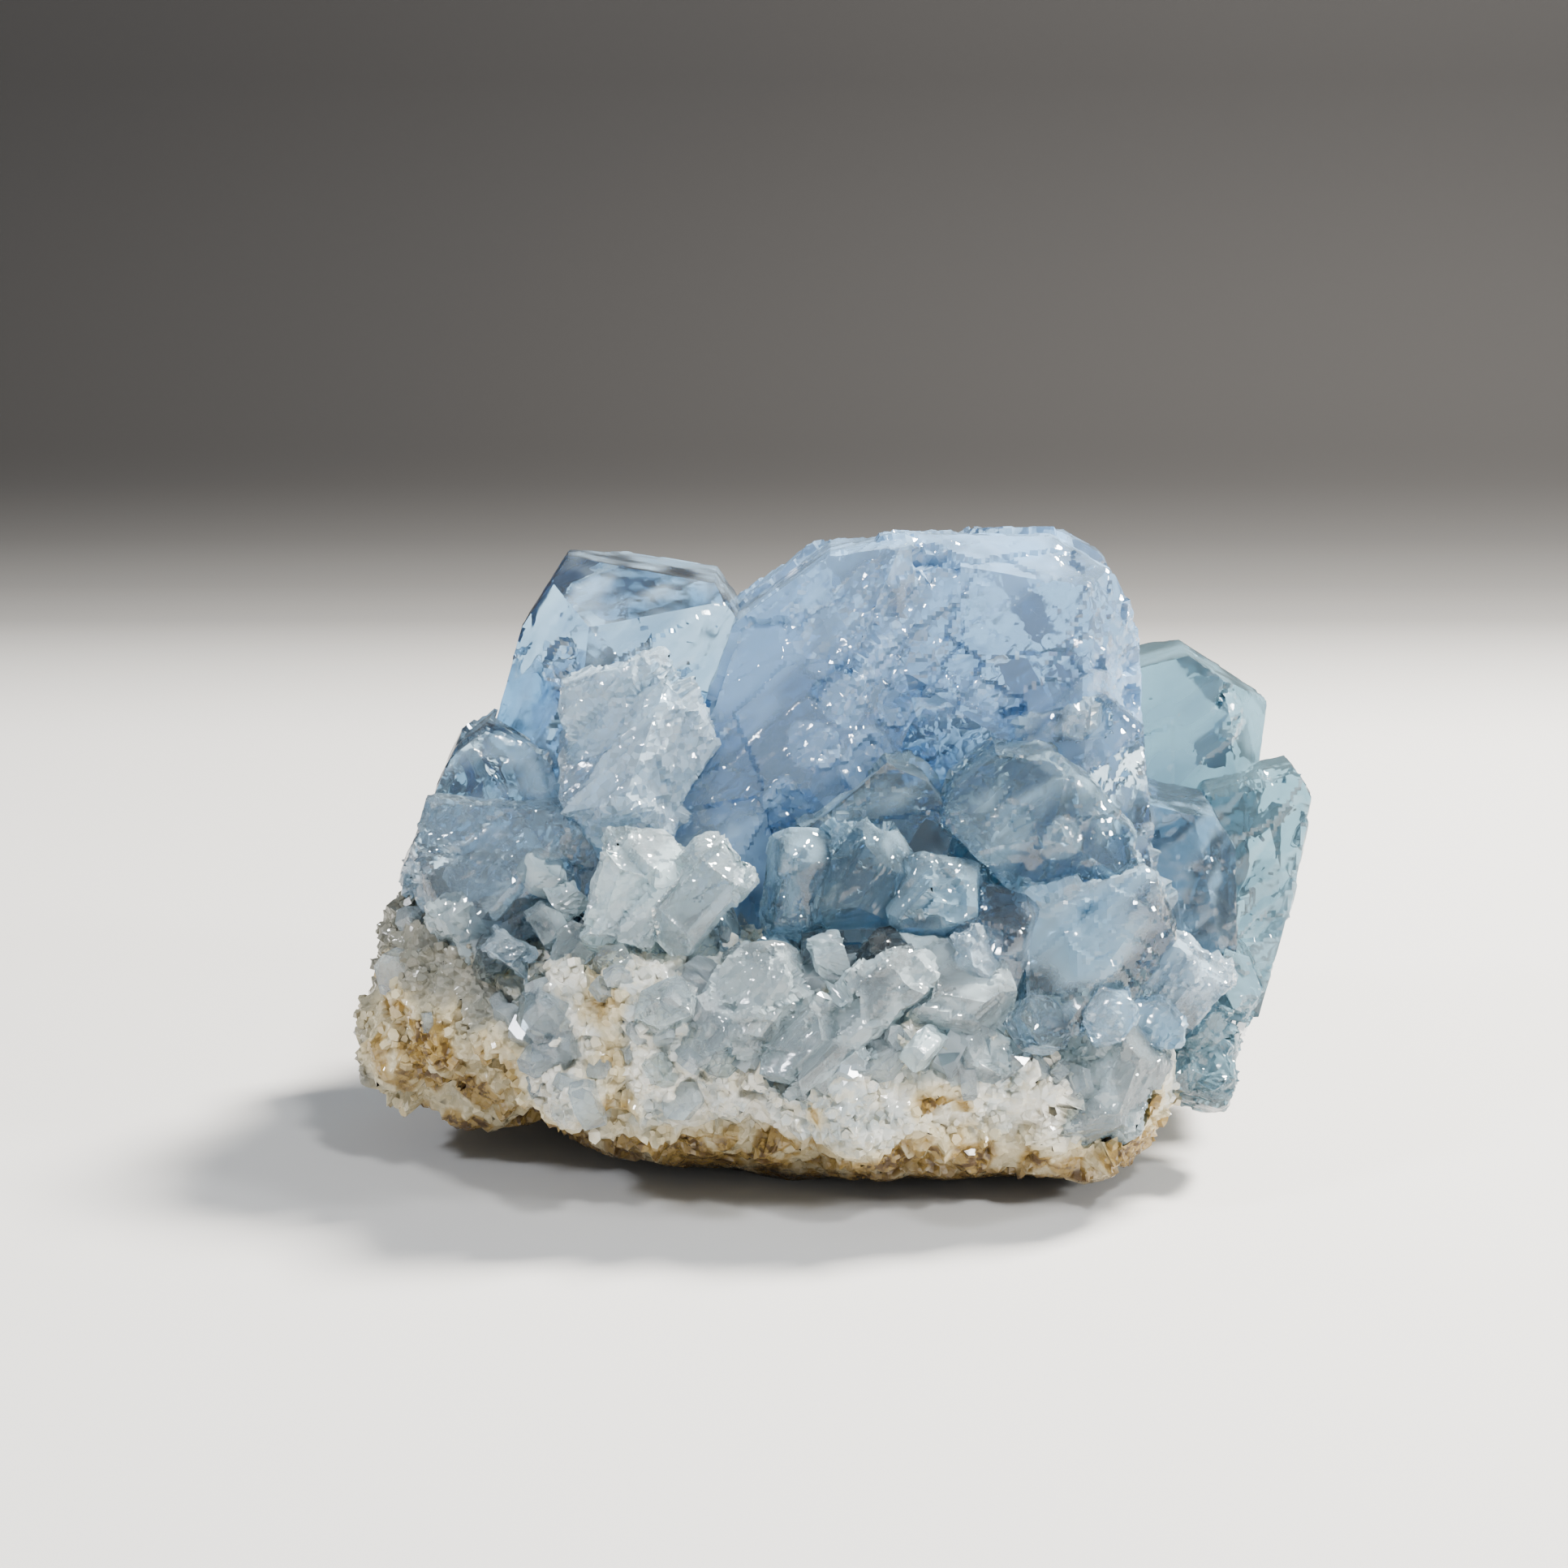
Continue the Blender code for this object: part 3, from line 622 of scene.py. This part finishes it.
def make_crust():
    """The crust: the CAD's lumps made uneven and sugary, but for the flat spot it rests on."""
    item = fine_skin("sugary_crust", cleaned("matrix", CRUST_SEAM), CRUST_CELL)
    spots = read_points(item.data)
    lumps = 0.9 * hills(spots, 5.0, 71) + 0.45 * hills(spots, 2.2, 72)
    sugar = (0.55 * facets(spots, 2.4, 73, 0.6) + 0.55 * facets(spots, 1.0, 74, 0.6)
             + 0.50 * facets(spots, 0.45, 75, 0.6))
    lift = between(spots[:, 2], 0.05, 3.6)
    push(item.data, lift * (lumps + sugar - 0.1))
    spots = read_points(item.data)
    spots[:, 2] = np.maximum(spots[:, 2], 0.0)
    item.data.vertices.foreach_set("co", (spots * MM).ravel())
    item.data.update()
    dress(item.data, 95)
    crisp(item.data, CRUST_TURN)
    finish_piece(item, crust_material("sugar_crust", 0.0), ["matrix"])
    return item


def habit_block(name, length, width, height, draw=None):
    """A small celestite crystal: a flat-faced prism whose ends are chisels, in mm. With a draw of random
    numbers it ends unevenly and a corner is broken off."""
    shape = bmesh.new()
    bmesh.ops.create_cube(shape, size=4 * length * MM)
    cuts = [((0, 90), height / 2), ((0, -90), height / 2), ((90, 0), width / 2), ((270, 0), width / 2)]
    uneven = draw.uniform(0.82, 1.0, 5) if draw else np.ones(5)
    cuts += [((bearing, 0), CHISEL_REACH * length * part)
             for bearing, part in zip((38, -38, 142, 218), uneven)]
    cuts.append(((0, 51), DOME_REACH * length * uneven[4]))
    if draw:
        cuts.append(((draw.uniform(0, 360), draw.uniform(20, 60)), CHIP_REACH * length))
    for (bearing, tilt), reach in cuts:
        normal = Vector(direction(bearing, tilt))
        geometry = shape.verts[:] + shape.edges[:] + shape.faces[:]
        cut = bmesh.ops.bisect_plane(shape, geom=geometry, dist=1e-7, plane_co=normal * reach * MM,
                                     plane_no=normal, clear_outer=True)
        rim = [part for part in cut["geom_cut"] if isinstance(part, bmesh.types.BMEdge)]
        if rim:
            bmesh.ops.contextual_create(shape, geom=rim)
    bmesh.ops.recalc_face_normals(shape, faces=shape.faces)
    mesh = bpy.data.meshes.new(name)
    shape.to_mesh(mesh)
    shape.free()
    block = bpy.data.objects.new(name, mesh)
    bpy.context.scene.collection.objects.link(block)
    return block


def small_crystals():
    """The small crystals that stand alone, one piece for each skin."""
    groups = {}
    for number, (skin, slot, centre, size, turns) in enumerate(SMALL_CRYSTALS):
        item = diced(habit_block("small", *size, np.random.default_rng(number)), SMALL_CUTS)
        weather(item.data, broken=0.50, steps=0.4, relief=0.80, seed=200 + number, grain=0.32)
        turned = Euler([math.radians(turn) for turn in turns])
        item.data.transform(Matrix.LocRotScale(Vector(centre) * MM, turned, None))
        groups.setdefault((skin, slot), []).append(item)
    for (skin, slot), items in groups.items():
        shape = bmesh.new()
        for item in items:
            shape.from_mesh(item.data)
            bpy.data.objects.remove(item)
        mesh = bpy.data.meshes.new("small_" + skin)
        shape.to_mesh(mesh)
        shape.free()
        crisp(mesh)
        joined = bpy.data.objects.new("small_" + skin, mesh)
        bpy.context.scene.collection.objects.link(joined)
        finish_piece(joined, SKINS[skin], [])


def stain_share(points):
    """How rusty the crust is, from 0 to 1: round the named spots, and along the foot."""
    share = 1 - between(points[:, 2] + 0.8 * hills(points, 4.0, 90), 2.4, 6.0)
    for spot, radius, strength in OCHRE_SPOTS:
        away = np.linalg.norm(points - np.array(spot), axis=1)
        share = np.maximum(share, strength * (1 - between(away / radius, 0.3, 1.4)))
    flecks = hills(points, 1.6, 91) + 0.6 * hills(points, 0.8, 92) + 0.4 * hills(points, 0.4, 93)
    return share * (0.35 + 0.65 * between(flecks, -0.7, 0.3))


def dress(mesh, seed):
    """The shares that the materials read, on a piece of grains."""
    points = read_points(mesh)
    write_share(mesh, "stain", stain_share(points))
    write_share(mesh, "cloud", 0.43 + 0.22 * hills(points, 1.2, seed))
    write_share(mesh, "etched", between(hills(points, 1.5, seed + 1), 0.1, 0.3))


def scatter_tree(name):
    """Geometry Nodes that stand turned and scaled copies of a block on a surface's faces."""
    tree = bpy.data.node_groups.new(name, "GeometryNodeTree")
    for label, kind in (("Surface", "Geometry"), ("Block", "Object"), ("Per Square Metre", "Float"),
                        ("Smallest", "Float"), ("Largest", "Float"), ("Seed", "Int"),
                        ("Material", "Material")):
        tree.interface.new_socket(label, in_out="INPUT", socket_type="NodeSocket" + kind)
    tree.interface.new_socket("Grains", in_out="OUTPUT", socket_type="NodeSocketGeometry")
    given = tree.nodes.new("NodeGroupInput").outputs
    share = node(tree, "GeometryNodeInputNamedAttribute", {"data_type": "FLOAT"}, Name="grain_share")
    points = node(tree, "GeometryNodeDistributePointsOnFaces", {"distribute_method": "POISSON"},
                  Mesh=given["Surface"], Density_Max=given["Per Square Metre"],
                  Density_Factor=share.outputs[0], Seed=given["Seed"])
    points.inputs["Distance Min"].default_value = GRAIN_GAP * MM
    turn = node(tree, "FunctionNodeRandomValue", {"data_type": "FLOAT_VECTOR"},
                i0=(-0.9, -0.9, 0.0), i1=(0.9, 0.9, math.tau), Seed=given["Seed"])
    tipped = node(tree, "FunctionNodeRotateRotation", {"rotation_space": "LOCAL"},
                  Rotation=points.outputs["Rotation"], Rotate_By=turn.outputs[0])
    size = node(tree, "FunctionNodeRandomValue", {"data_type": "FLOAT"},
                i2=given["Smallest"], i3=given["Largest"], Seed=given["Seed"])
    block = node(tree, "GeometryNodeObjectInfo", Object=given["Block"])
    placed = node(tree, "GeometryNodeInstanceOnPoints", Points=points.outputs["Points"],
                  Instance=block.outputs["Geometry"], Rotation=tipped.outputs["Rotation"],
                  Scale=size.outputs[1])
    real = node(tree, "GeometryNodeRealizeInstances", Geometry=placed.outputs["Instances"])
    painted = node(tree, "GeometryNodeSetMaterial", Geometry=real.outputs["Geometry"],
                   Material=given["Material"])
    out = tree.nodes.new("NodeGroupOutput")
    tree.links.new(painted.outputs["Geometry"], out.inputs["Grains"])
    return tree


def scatter(name, surface, share, tree, block, per_mm2, smallest, largest, seed, material):
    """One piece of many small crystals on a surface; share says how thick they stand at each point."""
    mesh = surface.data.copy()
    write_share(mesh, "grain_share", share)
    item = bpy.data.objects.new(name, mesh)
    bpy.context.scene.collection.objects.link(item)
    modifier = item.modifiers.new("scatter", "NODES")
    modifier.node_group = tree
    values = {"Block": block, "Per Square Metre": per_mm2 / MM ** 2, "Smallest": smallest,
              "Largest": largest, "Seed": seed, "Material": material}
    for socket in tree.interface.items_tree:
        if socket.in_out == "INPUT" and socket.name in values:
            modifier[socket.identifier] = values[socket.name]
    taken(item)
    dress(item.data, seed)
    finish_piece(item, material, [])


for number, (name, row) in enumerate(CRYSTALS.items()):
    make_crystal(name, *row, seed=number + 1)

small_crystals()
crust = make_crust()
tree = scatter_tree("scatter_grains")
grain = habit_block("grain_block", 1.0, 0.75, 0.62)
chunk = habit_block("chunk_block", 1.0, 0.8, 0.7, np.random.default_rng(4))
slab = habit_block("slab_block", 1.0, 0.62, 0.38, np.random.default_rng(8))
spots = read_points(crust.data)
outward = read_normals(crust.data)
# Nothing grows near the foot or on the underside, and the druse keeps off the stained left end
above = between(spots[:, 2], 2.6, 5.0) * between(outward[:, 2], -0.75, -0.35)
front = 1 - between(spots[:, 1], -14.0, -10.0)
crown = np.maximum(between(spots[:, 2], 8.0, 10.0), front * between(spots[:, 2], 6.0, 8.5)) * above
crown *= 1 - 0.8 * between(-spots[:, 0], 16.0, 19.0)
scatter("sugar_grains", crust, above * between(hills(spots, 2.2, 81), -0.6, 0.2), tree, grain,
        per_mm2=2.0, smallest=0.28, largest=0.75, seed=5,
        material=crust_material("sugar_grain", 0.16))
scatter("druse_chunks", crust, crown * between(hills(spots, 3.0, 82), -0.5, 0.1), tree, chunk,
        per_mm2=0.18, smallest=0.9, largest=2.2, seed=9,
        material=SKINS["druse_white"])
scatter("druse_slabs", crust, crown * between(hills(spots, 3.0, 83), -0.5, 0.1), tree, slab,
        per_mm2=0.18, smallest=1.2, largest=3.0, seed=11,
        material=SKINS["druse_white"])
scatter("druse_blue", crust, crown * between(hills(spots, 3.0, 84), -0.3, 0.3) * (1 - 0.7 * front), tree,
        slab, per_mm2=0.13, smallest=1.6, largest=3.6, seed=13,
        material=SKINS["clear_blue"])
for block in (grain, chunk, slab):
    bpy.data.objects.remove(block)


# The stage: a pale floor, a plain backdrop and soft lights

def sheet(name, profile, material):
    """A wide sheet that follows the profile's points, (Y, Z) in mm, away from the camera."""
    mesh = bpy.data.meshes.new(name)
    shape = bmesh.new()
    rows = [[shape.verts.new(Vector((side, y, z)) * MM) for side in (-FLOOR_REACH, FLOOR_REACH)]
            for y, z in profile]
    for row, after in zip(rows, rows[1:]):
        shape.faces.new((row[0], row[1], after[1], after[0])).smooth = True
    shape.to_mesh(mesh)
    shape.free()
    mesh.materials.append(material)
    item = bpy.data.objects.new(name, mesh)
    bpy.context.scene.collection.objects.link(item)


def soft_light(name, spot, size, power, code="#FFFFFF"):
    """A square soft box that faces the object. Spot and size in mm, power in watts."""
    light = bpy.data.lights.new(name, "AREA")
    light.size = size * MM
    light.energy = power
    light.color = linear(code)[:3]
    item = bpy.data.objects.new(name, light)
    item.location = Vector(spot) * MM
    item.rotation_euler = (Vector((0, 0, 14)) - Vector(spot)).to_track_quat("-Z", "Y").to_euler()
    bpy.context.scene.collection.objects.link(item)
    return item


# The floor's profile, (Y, Z) in mm: flat, then swept up into the backdrop
sweep = [(-FLOOR_REACH, 0), (60, 0), (120, 0)]
sweep += [(150 + 60 * math.sin(turn), 60 - 60 * math.cos(turn)) for turn in np.linspace(0.1, 1.5, 9)]
sweep += [(210, 700)]
backdrop, tree, place, output = new_material("pale_floor")
away = node(tree, "ShaderNodeSeparateXYZ", Vector=place).outputs["Y"]
# Pale where the object stands, dark behind it
tone = blend(tree, ramp(tree, away, 90 * MM, 190 * MM), linear("#B4B4B3"), linear("#0E0D0D"))
shader = node(tree, "ShaderNodeBsdfPrincipled", Base_Color=tone, Roughness=0.85)
tree.links.new(shader.outputs["BSDF"], output.inputs["Surface"])
sheet("floor", sweep, backdrop)
soft_light("key_light", (150, 70, 250), 60, 6.0, "#FFF8EE")
soft_light("side_light", (270, -130, 150), 40, 0.8, "#FFFFFF")
soft_light("left_light", (-230, -130, 230), 40, 0.8, "#F2F6FF")
soft_light("front_light", (110, -200, 290), 34, 1.0, "#FFFFFF")
world = bpy.data.worlds.new("studio")
world.use_nodes = True
tree = world.node_tree
sky = tree.nodes["Background"]
sky.inputs["Color"].default_value = linear("#E1E6EA")
# The room is brighter on the camera's side
way = node(tree, "ShaderNodeTexCoord").outputs["Generated"]
toward = node(tree, "ShaderNodeSeparateXYZ", Vector=way).outputs["Y"]
tree.links.new(ramp(tree, toward, -0.7, 0.5, 0.64, 0.26), sky.inputs["Strength"])
bpy.context.scene.world = world

camera = bpy.data.objects.new("camera", bpy.data.cameras.new("camera"))
camera.data.lens = CAMERA_LENS
camera.data.sensor_width = 36.0
camera.data.clip_start = 0.005
camera.location = Vector(CAMERA_SPOT) * MM
camera.rotation_euler = Euler((math.radians(90 - CAMERA_DOWN), 0, 0))
bpy.context.scene.collection.objects.link(camera)
bpy.context.scene.camera = camera
